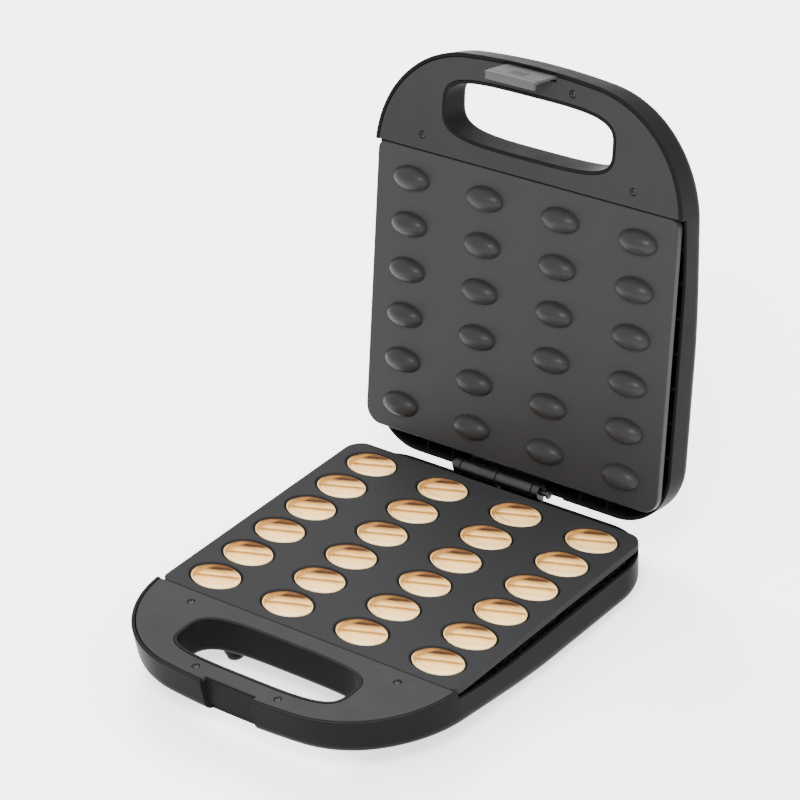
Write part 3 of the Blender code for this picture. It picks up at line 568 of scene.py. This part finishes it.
def rim_rings(outline):
    """The rim from its inner to its outer edge, both rounded."""
    rings = []
    for side, turns in ((-1, (0, 30, 60, 90)), (1, (90, 60, 30, 0))):
        for turn in (math.radians(turn) for turn in turns):
            curl = RIM_ROUND * (1 - math.cos(turn))
            row = []
            for x, y, nx, ny in outline:
                depth = rim(y) + RIM_ROUND * (1 - math.sin(turn))
                inset = DRAFT * (depth - PARTING_GAP) / (depth_at(y) - fillet_at(y) - PARTING_GAP)
                grow = -inset - (curl if side > 0 else WALL - curl)
                row.append((x + nx * grow, y + ny * grow, depth))
            rings.append(row)
    return rings


def ladder(bm, row):
    count = len(row)
    for i in range(count // 2):
        pair = [row[i], row[i + 1], row[(count - i - 1) % count], row[(count - i) % count]]
        bm.faces.new(list(dict.fromkeys(pair)))


def shell_mesh(name):
    outline = housing_outline()
    tilts = [math.radians(90) * step / 10 for step in range(11)]
    rings = [wall_ring(outline, WALL, tilt) for tilt in reversed(tilts)]
    rings += rim_rings(outline)
    rings += [wall_ring(outline, 0, tilt) for tilt in tilts]
    bm = bmesh.new()
    rows = skin(bm, rings)
    ladder(bm, rows[0])
    ladder(bm, rows[-1])
    return mesh_from(bm, name)


def envelope(grow):
    """The volume inside a housing's outer face, grown by a gap."""
    outline = housing_outline()
    rings = [ring(outline, grow, 0)]
    rings += [wall_ring(outline, -grow, math.radians(15 * step)) for step in range(7)]
    bm = bmesh.new()
    rows = skin(bm, rings)
    bm.faces.new(rows[0])
    ladder(bm, rows[-1])
    return mesh_from(bm, "envelope")


CORE = envelope(-WALL * 0.4)


def slot_column(wall, start, past, lip=0.0):
    """The finger slot's column, with a fillet at the outer face and a small lip at the parting plane."""
    outline = slot_outline()
    rings = [ring(outline, wall + lip, start)]
    if lip:
        for turn in (0, 30, 60, 90):
            turn = math.radians(turn)
            depth = PARTING_GAP + lip * (1 - math.cos(turn))
            rings.append(ring(outline, wall + lip * (1 - math.sin(turn)), depth))
    radius = SLOT_FILLET - wall
    bends = [(SLOT_FILLET - radius * math.cos(tilt), radius * math.sin(tilt) - SLOT_FILLET)
             for tilt in (math.radians(angle) for angle in range(0, 85, 8))]
    for grow, rise in bends + [(SLOT_FILLET + 0.001, past)]:
        rings.append([(x + nx * grow, y + ny * grow, depth_at(y) + rise) for x, y, nx, ny in outline])
    bm = bmesh.new()
    rows = skin(bm, rings)
    ladder(bm, rows[0])
    ladder(bm, rows[-1])
    return mesh_from(bm, "slot_column")


def wall_ribs():
    """Stiffening ribs from the side and rear walls in under the plate."""
    half, below_rim, bottom = 0.0006, 0.0008, 0.0300
    pairs = []
    for side in (-1, 1):
        for step in range(8):
            y = -0.0810 + 0.0240 * step
            low, high = sorted((side * 0.1185, side * HALF_WIDTH))
            pairs.append(((low, y - half, rim(y) + below_rim), (high, y + half, bottom)))
        for x in (side * 0.0540, side * 0.0760):
            pairs.append(((x - half, 0.0990, RIM_REAR + below_rim), (x + half, REAR_Y, bottom)))
    return trimmed(boxes(*pairs), CORE)


def shell(name, half):
    obj = add(name, shell_mesh(name))
    posts = both_sides(((POST_X, -POST_Y), (POST_X, POST_Y)))
    join(obj, slot_column(SLOT_WALL, PARTING_GAP, -0.0013), wall_ribs())
    bosses = trimmed(rods(0.0050, POST_END + FIT_GAP, 0.05, posts), CORE)
    hinge_x = HINGE_X[half]
    shelf_top = FLANGE_DEPTH + FLANGE_THICKNESS + FIT_GAP
    shelf = trimmed(boxes(*[
        ((hinge_x + side * HINGE_SCREW_X - 0.004, HINGE_Y - 0.0085, shelf_top),
         (hinge_x + side * HINGE_SCREW_X + 0.004, REAR_Y, BODY_DEPTH))
        for side in (-1, 1)
    ]), CORE)
    join(obj, bosses, shelf)
    hinge_screws = [(hinge_x + side * HINGE_SCREW_X, HINGE_Y - HINGE_SCREW_BACK) for side in (-1, 1)]
    cut(
        obj,
        slot_column(0, -0.002, 0.004, lip=0.0005),
        rods(0.0019, 0.0195, 0.05, posts),
        rods(0.0036, 0.0255, 0.05, posts),
        rods(0.0014, shelf_top - 0.001, 0.0245, hinge_screws),
    )
    return obj


def base_shell():
    obj = shell("base_shell", "base")
    under_cover = COVER_TOP + COVER_THICKNESS + FIT_GAP
    catch = trimmed(boxes(((-0.0240, FRONT_Y, under_cover), (0.0240, -0.1650, 0.05))), CORE)
    lip = boxes(((-0.0205, RECESS_FLOOR - 0.001, 0.0015), (0.0205, COVER_NOTCH_BACK - FIT_GAP, 0.0050)))
    gland_place = [(GLAND_X, GLAND_DEPTH)]
    gland_boss = trimmed(rods(0.0092, REAR_Y - 0.0125, REAR_Y + 0.01, gland_place, "Y"), CORE)
    join(obj, catch, lip, gland_boss)
    cut(
        obj,
        boxes(((-RECESS_HALF, FRONT_Y - 0.01, -0.01), (RECESS_HALF, RECESS_FLOOR, 0.05))),
        boxes(((-RECESS_HALF, RECESS_FLOOR - 0.003, CATCH_LEDGE), (RECESS_HALF, HOOK_SLOT_BACK, 0.05))),
        rods(0.0071, REAR_Y - 0.0060, REAR_Y + 0.01, gland_place, "Y"),
        rods(0.0053, REAR_Y - 0.02, REAR_Y, gland_place, "Y"),
    )
    done(obj, "base", HOUSING, ["lower_housing"])


def lid_shell():
    obj = shell("lid_shell", "lid")
    y, z = LATCH_PIVOT
    join(obj, trimmed(boxes(((-0.0250, FRONT_Y, 0.0032), (0.0250, -0.1696, 0.0085))), CORE))
    half = COVER_NOTCH_HALF
    cut(
        obj,
        boxes(((-half, -0.1765, -0.01), (half, -0.1650, 0.0050))),
        boxes(((-half, -0.1760, 0.0040), (half, -0.1650, 0.0100))),
        rods(LATCH_PIN_RADIUS + PIN_PLAY, -0.0242, 0.0242, [(y, z)], "X", 16),
        boxes(((HINGE_X["lid"] - 0.0385, HINGE_Y - 0.004, -0.01), (HINGE_X["lid"] + 0.0460, 0.2, 0.0125))),
        rods(0.0043, 0.02, 0.05, LAMPS.values()),
    )
    done(obj, "lid", HOUSING, ["upper_housing"])


def handle_cover(name, half, node):
    outline = housing_outline()
    inset = -(WALL + 2 * FIT_GAP)
    bottom, edge = COVER_TOP + COVER_THICKNESS, 0.0004
    obj = add(name, loft(name, [
        ring(outline, inset - edge, COVER_TOP), ring(outline, inset - edge * 0.3, COVER_TOP + edge * 0.3),
        ring(outline, inset, COVER_TOP + edge), ring(outline, inset, bottom),
    ]))
    slot = slot_outline()
    grow = SLOT_WALL + FIT_GAP
    places = both_sides(HANDLE_SCREWS)
    cut(
        obj,
        boxes(((-0.2, COVER_REAR, -0.01), (0.2, 0.2, 0.02))),
        loft("slot", [
            ring(slot, grow + 0.0024, -0.002), ring(slot, grow + edge, COVER_TOP),
            ring(slot, grow + edge * 0.3, COVER_TOP + edge * 0.3), ring(slot, grow, COVER_TOP + edge),
            ring(slot, grow, 0.006),
        ]),
        boxes(((-COVER_NOTCH_HALF, -0.2, -0.01), (COVER_NOTCH_HALF, COVER_NOTCH_BACK, 0.02))),
        rods(0.0027, -0.002, COVER_TOP + 0.0014, places),
        rods(0.0034, COVER_TOP - 0.0006, COVER_TOP + 0.0004, places, end_radius=0.0026),
        rods(0.0016, -0.002, 0.006, places),
    )
    done(obj, half, COVER, [node])


# Plates

def dome(bm, place, half_length, half_width, height, root, tip_side, sides=48, steps=12, lip=0.0):
    """A half ellipsoid with its flat face at the depth root; a lip flares its mouth like a small fillet."""
    x, y = place
    turns = [2 * math.pi * i / sides for i in range(sides)]

    def level(length, width, depth):
        return [(x + length * math.cos(turn), y + width * math.sin(turn), depth) for turn in turns]

    rings = []
    if lip:
        rings.append(level(half_length + lip, half_width + lip, root - tip_side * 0.002))
        for angle in (0, 30, 60):
            turn = math.radians(angle)
            grow, rise = lip * (1 - math.sin(turn)), lip * (1 - math.cos(turn))
            rings.append(level(half_length + grow, half_width + grow, root + tip_side * rise))
    first = 1 if lip else 0
    for step in range(first, steps):
        tilt = math.radians(90) * step / steps
        depth = root + tip_side * height * math.sin(tilt)
        rings.append(level(half_length * math.cos(tilt), half_width * math.cos(tilt), depth))
    rows = skin(bm, rings)
    bm.faces.new(rows[0])
    tip = bm.verts.new((x, y, root + tip_side * height))
    for i in range(sides):
        bm.faces.new((rows[-1][i], rows[-1][(i + 1) % sides], tip))


def domes(*sizes, **options):
    bm = bmesh.new()
    for place in grid_places():
        dome(bm, place, *sizes, **options)
    return mesh_from(bm, "domes")


def plate(name):
    outline = plate_outline()
    rear = PLATE_TOP + PLATE_THICKNESS
    rings = []
    for turn in (90, 60, 30, 0):
        turn = math.radians(turn)
        depth = PLATE_TOP + PLATE_EDGE * (1 - math.sin(turn))
        rings.append(ring(outline, -PLATE_EDGE * (1 - math.cos(turn)), depth))
    rings += [ring(outline, grow, depth) for grow, depth in (
        (0, SKIRT_DEPTH - 0.0003), (-0.0003, SKIRT_DEPTH), (-SKIRT_WALL, SKIRT_DEPTH), (-SKIRT_WALL, rear))]
    obj = add(name, loft(name, rings))
    posts = both_sides(((POST_X, -POST_Y), (POST_X, POST_Y)))
    join(obj, rods(0.0045, PLATE_TOP + 0.001, POST_END, posts, sides=24))
    cut(obj, rods(0.0017, 0.0100, 0.05, posts, sides=16))
    return obj


def plates():
    lower = plate("mould_plate")
    cups = [size + 0.0018 for size in CAVITY]
    join(lower, domes(cups[0], cups[1], cups[2] - 0.0012, PLATE_TOP + 0.0012, 1, sides=32, steps=8))
    cut(lower, domes(*CAVITY, PLATE_TOP, 1, lip=0.0010))
    done(lower, "base", NONSTICK["base"], ["lower_plate"])
    upper = plate("stud_plate")
    join(upper, domes(BUMP[0], BUMP[1], BUMP[2] + 0.001, PLATE_TOP + 0.001, -1))
    done(upper, "lid", NONSTICK["lid"], ["upper_plate"])


def half_shells():
    """Baked half shells lying a little low in the moulds, each hollowed by its stud."""
    bm = bmesh.new()
    layers = [bm.verts.layers.float.new(name) for name in ("back", "end", "crest")]
    sides = 72
    turns = [2 * math.pi * i / sides for i in range(sides)]
    length, width, depth = (size * SHELL_FIT for size in CAVITY)
    reach = math.hypot(width, STRIPE_SKEW * length)
    stud = [size + 0.0004 for size in BUMP]
    top = PLATE_TOP + 0.0010
    levels = []
    for step in range(7, 0, -1):
        tilt = math.radians(90) * step / 8
        z = PLATE_TOP + depth * math.sin(tilt)
        levels.append((length * math.cos(tilt), width * math.cos(tilt), z, 0))
    for long, wide, drop, crest in ((1, 1, 0.0006, 0), (0.992, 0.990, 0.0002, 0.6), (0.976, 0.965, 0, 1),
                                    (0.958, 0.94, 0.0002, 0.8), (0.940, 0.915, 0.0007, 0.1)):
        levels.append((length * long, width * wide, top + drop, crest))
    brink = (stud[0] * 1.05, stud[1] * 1.08, top + 0.0020, 0)
    outermost = levels[-1]
    for step in range(1, 5):
        levels.append(tuple(a + (b - a) * step / 4 for a, b in zip(outermost, brink)))
    for step in range(3, 16):
        tilt = math.radians(90) * step / 16
        z = PLATE_TOP + stud[2] * math.sin(tilt)
        levels.append((stud[0] * math.cos(tilt), stud[1] * math.cos(tilt), z, 0))

    def point(x, y, z, place, crest):
        vertex = bm.verts.new((x, y, z))
        sunk = z - PLATE_TOP
        # Shifted by depth so the painted stripes of light and shade lie on each hollow's far wall as seen
        # from the front right
        aside, behind = x - place[0] - 1.05 * sunk, y - place[1] - 1.16 * sunk
        across = (behind + STRIPE_SKEW * aside) / reach
        toned = (0.5 + across / 2, 0.5 + aside / (2 * length) + 0.16 * across * across, crest)
        for layer, tone in zip(layers, toned):
            vertex[layer] = min(max(tone, 0), 1)
        return vertex

    for number, place in enumerate(grid_places()):
        x, y = place[0] + 0.0003, place[1] + 0.0002
        rows = []
        for long, wide, z, crest in levels:
            rows.append([
                point(
                    x + long * math.cos(turn) * (1 + 0.006 * math.sin(3 * turn + number)),
                    y + wide * math.sin(turn) * (1 + 0.006 * math.sin(2 * turn + 2 * number)),
                    z + 0.00012 * math.sin(5 * turn + 3 * number), place, crest)
                for turn in turns
            ])
        for outer, inner in zip(rows, rows[1:]):
            for i in range(sides):
                j = (i + 1) % sides
                bm.faces.new((outer[i], outer[j], inner[j], inner[i]))
        for row, z in ((rows[0], PLATE_TOP + depth), (rows[-1], PLATE_TOP + stud[2])):
            tip = point(x, y, z, place, 0)
            for i in range(sides):
                bm.faces.new((row[i], row[(i + 1) % sides], tip))
    obj = add("half_shells", mesh_from(bm, "half_shells"))
    done(obj, "base", DOUGH, sharp=60)


# Hinge, latch and fittings

def hinge_bracket(half):
    node = {"base": "lower_hinge_bracket", "lid": "upper_hinge_bracket"}[half]
    obj = add(f"{half}_hinge", boxes((
        (EAR[0], -0.0082, FLANGE_DEPTH), (BARREL[1], 0.0018, FLANGE_DEPTH + FLANGE_THICKNESS))))
    for start, end in (BARREL, EAR):
        web = boxes(((start + 0.0002, -WEB_HALF, 0.001), (end - 0.0002, WEB_HALF, FLANGE_DEPTH + 0.001)))
        join(obj, rods(KNUCKLE_RADIUS, start, end, [(0, 0)], "X", 64), web)
    cut(obj, rods(PIN_RADIUS + PIN_PLAY, -0.05, 0.05, [(0, 0)], "X", 32),
        rods(0.0014, 0.01, 0.03, [(side * HINGE_SCREW_X, -HINGE_SCREW_BACK) for side in (-1, 1)]))
    soften(obj, 0.0005, 3)
    done(obj, half, DARK_STEEL, [node], Matrix.Translation((HINGE_X[half], HINGE_Y, 0)))


def hinge_pin():
    along = Matrix.Translation((HINGE_X["base"], HINGE_Y, 0)) @ Matrix.Rotation(-math.pi / 2, 4, "Y")
    head, top, neck, tail = 0.0030, 0.0425, 0.0410, -0.0395
    profile = [(0, top), (head, top), (head, neck), (PIN_RADIUS, neck), (PIN_RADIUS, tail), (0, tail)]
    pin = add("pin", turned("pin", rounded(profile, 0.0006)))
    done(pin, "base", DARK_STEEL, ["hinge_pin"], along)
    hole = PIN_RADIUS + PIN_PLAY
    cap = add("pin_cap", turned("pin_cap", [
        (hole, 0), (0.0034, 0), (0.0036, -0.0002), (0.0036, -0.0010), (0.0030, -0.0016), (hole, -0.0016)]))
    where = along @ Matrix.Translation((0, 0, -0.0364))
    done(cap, "base", DARK_STEEL, ["hinge_pin_cap"], where)


def screw_mesh(radius, height, shaft, length):
    """A pan-head screw along -Z, with a cross recess and a threaded shank."""
    profile = [(0, height)]
    for turn in (0.5, 0.85, 1.15, 1.4, 1.57):
        profile.append((radius * math.sin(turn), height * (0.35 + 0.65 * math.cos(turn))))
    profile += [(radius, 0), (shaft, 0)]
    pitch = 0.0009
    for turn in range(int(length / pitch) - 1):
        profile += [(shaft * 0.82, -(turn + 0.5) * pitch), (shaft, -(turn + 1) * pitch)]
    obj = add("screw", turned("screw", profile + [(0, -length)], 32))
    arm, slit = radius * 0.55, radius * 0.14
    for x, y in ((arm, slit), (slit, arm)):
        cut(obj, boxes(((-x, -y, height * 0.35), (x, y, height * 2))))
    mesh = obj.data
    bpy.data.objects.remove(obj)
    return mesh


def screws():
    handle = screw_mesh(0.0023, 0.0011, 0.0011, 0.0100)
    under = screw_mesh(0.0031, 0.0020, 0.0014, 0.0140)
    turned_in = Matrix.Rotation(math.pi, 4, "X")
    corners = ("front_left", "front_right", "rear_left", "rear_right")
    for half, label in (("base", "lower"), ("lid", "upper")):
        for corner, (x, y) in zip(corners, both_sides(HANDLE_SCREWS[::-1])):
            place = Matrix.Translation((x, y, COVER_TOP + 0.0012)) @ turned_in
            obj = add(f"{half}_handle_screw_{corner}", handle.copy())
            done(obj, half, SCREW_STEEL, [f"{label}_handle_screw_{corner}"], place)
        for corner, (x, y) in zip(corners, both_sides(((POST_X, -POST_Y), (POST_X, POST_Y)))):
            place = Matrix.Translation((x, y, 0.0258))
            obj = add(f"{half}_plate_screw_{corner}", under.copy())
            done(obj, half, STEEL, [f"{label}_plate_screw_{corner}"], place)


def latch():
    """The latch plate with a lip along its free end, grip ridges, knuckles and its hook."""
    y0, z0 = LATCH_PIVOT
    front, back, end = LATCH_FRONT - y0, LATCH_BACK - y0, LATCH_END - z0
    inner = LATCH_HALF - 0.0004
    obj = add("latch_plate", boxes(((-LATCH_HALF, front, end), (LATCH_HALF, front + 0.0018, -0.0012))))
    join(obj, boxes(((-inner, front + 0.0010, end + 0.0002), (inner, back, end + 0.0040))))
    join(obj, boxes(((-inner, back - 0.001, end + 0.0002), (inner, HOOK_BACK - y0, HOOK_TOP - z0))))
    for side in (-1, 1):
        join(obj, rods(LATCH_KNUCKLE, *sorted((side * 0.0080, side * 0.0196)), [(0, 0)], "X", 32))
    cut(obj, rods(LATCH_PIN_RADIUS + PIN_PLAY, -0.03, 0.03, [(0, 0)], "X", 24),
        boxes(((-0.0052, -0.01, -0.0023), (0.0052, 0.01, 0.01))))
    wide = LATCH_HALF + 0.01
    cut(obj, boxes(((-wide, front - 0.01, end + 0.0042), (wide, front + 0.0005, end + 0.0047))))
    grip_half, rows = 0.0070, [end + 0.0066 + 0.0020 * row for row in range(4)]
    cut(obj, boxes(*[
        ((-grip_half, front - 0.01, low), (grip_half, front + 0.0004, low + 0.0010)) for low in rows]))
    soften(obj, 0.00025, 2)
    done(obj, "latch", LATCH, ["latch"], Matrix.Translation((0, y0, z0)))


def feet():
    for place, (x, y) in FEET.items():
        for side, name in ((1, "left"), (-1, "right")):
            where = Matrix.Translation((side * x, y, PARTING_HEIGHT))
            radius = 0.0056
            profile = [(0, 0), (radius, 0), (radius, -PAD_HEIGHT), (0, -PAD_HEIGHT)]
            pad = add(f"pad_{place}_{name}", turned("pad", rounded(profile, 0.0008)))
            done(pad, "base", RUBBER, [f"foot_pad_{place}_{name}"], where)
            low, high = -PAD_HEIGHT - FIT_GAP, -PARTING_HEIGHT + depth_at(y) - 0.004
            foot = add(f"leg_{place}_{name}", turned("foot", [
                (0, low), (FOOT_BOTTOM - 0.0006, low), (FOOT_BOTTOM - 0.0002, low - 0.0002),
                (FOOT_BOTTOM, low - 0.0006), (FOOT_TOP, high), (0, high)]))
            body = envelope(FIT_GAP)
            body.transform(where.inverted())
            cut(foot, body)
            done(foot, "base", HOUSING, [f"foot_{place}_{name}"], where)


def gland():
    hole = GLAND_HOLE
    profile = [(hole, 0.0012), (0.0064, 0.0012), (0.0068, 0.0008), (0.0068, -0.0028), (0.0050, -0.0028),
               (0.0050, -0.0125), (hole, -0.0125)]
    where = Matrix.Translation((GLAND_X, REAR_Y - 0.0029, GLAND_DEPTH))
    where @= Matrix.Rotation(-math.pi / 2, 4, "X")
    done(add("lead_gland", turned("gland", profile)), "base", RUBBER, ["cord_gland"], where)


def lamps():
    for name, (x, y) in LAMPS.items():
        profile = [(0, 0.0010), (0.0012, 0.00095), (0.0024, 0.0007), (0.0034, 0.0003), (0.0040, -0.0002),
                   (0.0040, -0.0035), (0, -0.0035)]
        where = Matrix.Translation((x, y, depth_at(0)))
        node = f"{name}_lamp_lens"
        done(add(f"{name}_lamp", turned(name, profile)), "lid", LENSES[name], [node], where)


def carried_over():
    """Better finishes for the CAD nodes that stay."""
    finishes = {
        DARK_STEEL: ["lower_heating_element", "upper_heating_element"],
        SHEET: ["lower_heat_shield", "upper_heat_shield"],
        CERAMIC: ["thermostat", "upper_thermal_cutout", "terminal_block", "lamp_holder"],
        STEEL: ["thermal_fuse", "latch_pin", "latch_spring"]
        + [f"{half}_hinge_screw_{side}" for half in ("lower", "upper") for side in ("left", "right")],
    }
    for material, names in finishes.items():
        for name in names:
            node = frame["nodes"][name]
            node.data.materials.clear()
            node.data.materials.append(material)


# Studio

def area_light(name, place, target, size, power, color=(1, 1, 1)):
    light = bpy.data.lights.new(name, "AREA")
    light.shape, light.size, light.energy, light.color = "DISK", size, power, color
    obj = add(name, light)
    obj.location = place
    obj.rotation_euler = (Vector(target) - Vector(place)).to_track_quat("-Z", "Y").to_euler()


def studio():
    floor_mesh = boxes(((-6, -6, -0.02), (6, 6, 0)))
    floor = add("floor", floor_mesh)
    made = Nodes("floor_paint", 0.55, specular=0.2)
    paint = made.ramp(made.noise(3, 2), (0.3, (0.975, 0.975, 0.975)), (0.7, (0.98, 0.98, 0.98)))
    made.link(paint, "Base Color")
    made.shader.inputs["Emission Color"].default_value = (1, 1, 1, 1)
    made.shader.inputs["Emission Strength"].default_value = 1.5
    floor.data.materials.append(made.material)

    world = bpy.data.worlds.new("studio")
    world.use_nodes = True
    world.node_tree.nodes["Background"].inputs["Color"].default_value = (1, 1, 1, 1)
    world.node_tree.nodes["Background"].inputs["Strength"].default_value = 2.1
    bpy.context.scene.world = world
    area_light("key", (-0.9, 0.9, 1.5), (0, 0, 0.05), 0.9, 46)
    area_light("fill", (1.2, -1.1, 1.0), (0, 0, 0.1), 1.2, 6)
    area_light("top", (0.75, -1.0, 1.55), (0, 0.05, 0.2), 0.5, 36)


def camera():
    """At the reference view, aimed from the middle of the mould grid."""
    data = bpy.data.cameras.new("view")
    data.lens, data.sensor_width = 157.22, 36
    obj = add("view", data)
    right, up = Vector((0.77511741, 0.62554248, -0.0888234)), Vector((-0.2561, 0.4396, 0.8609))
    forward = Vector((-0.57757338, 0.64454316, -0.50097216))
    away = Vector((20.80903586, -23.01922719, 19.86332411)) * COLUMN_PITCH
    turn = Matrix((right, up, -forward)).transposed().to_4x4()
    obj.matrix_world = Matrix.Translation(Vector((0, GRID_Y, PARTING_HEIGHT)) + away) @ turn
    bpy.context.scene.camera = obj


base_shell()
lid_shell()
handle_cover("base_cover", "base", "lower_handle_cover")
handle_cover("lid_cover", "lid", "upper_handle_cover")
plates()
half_shells()
for half in ("base", "lid"):
    hinge_bracket(half)
hinge_pin()
screws()
latch()
feet()
gland()
lamps()
carried_over()
studio()
camera()
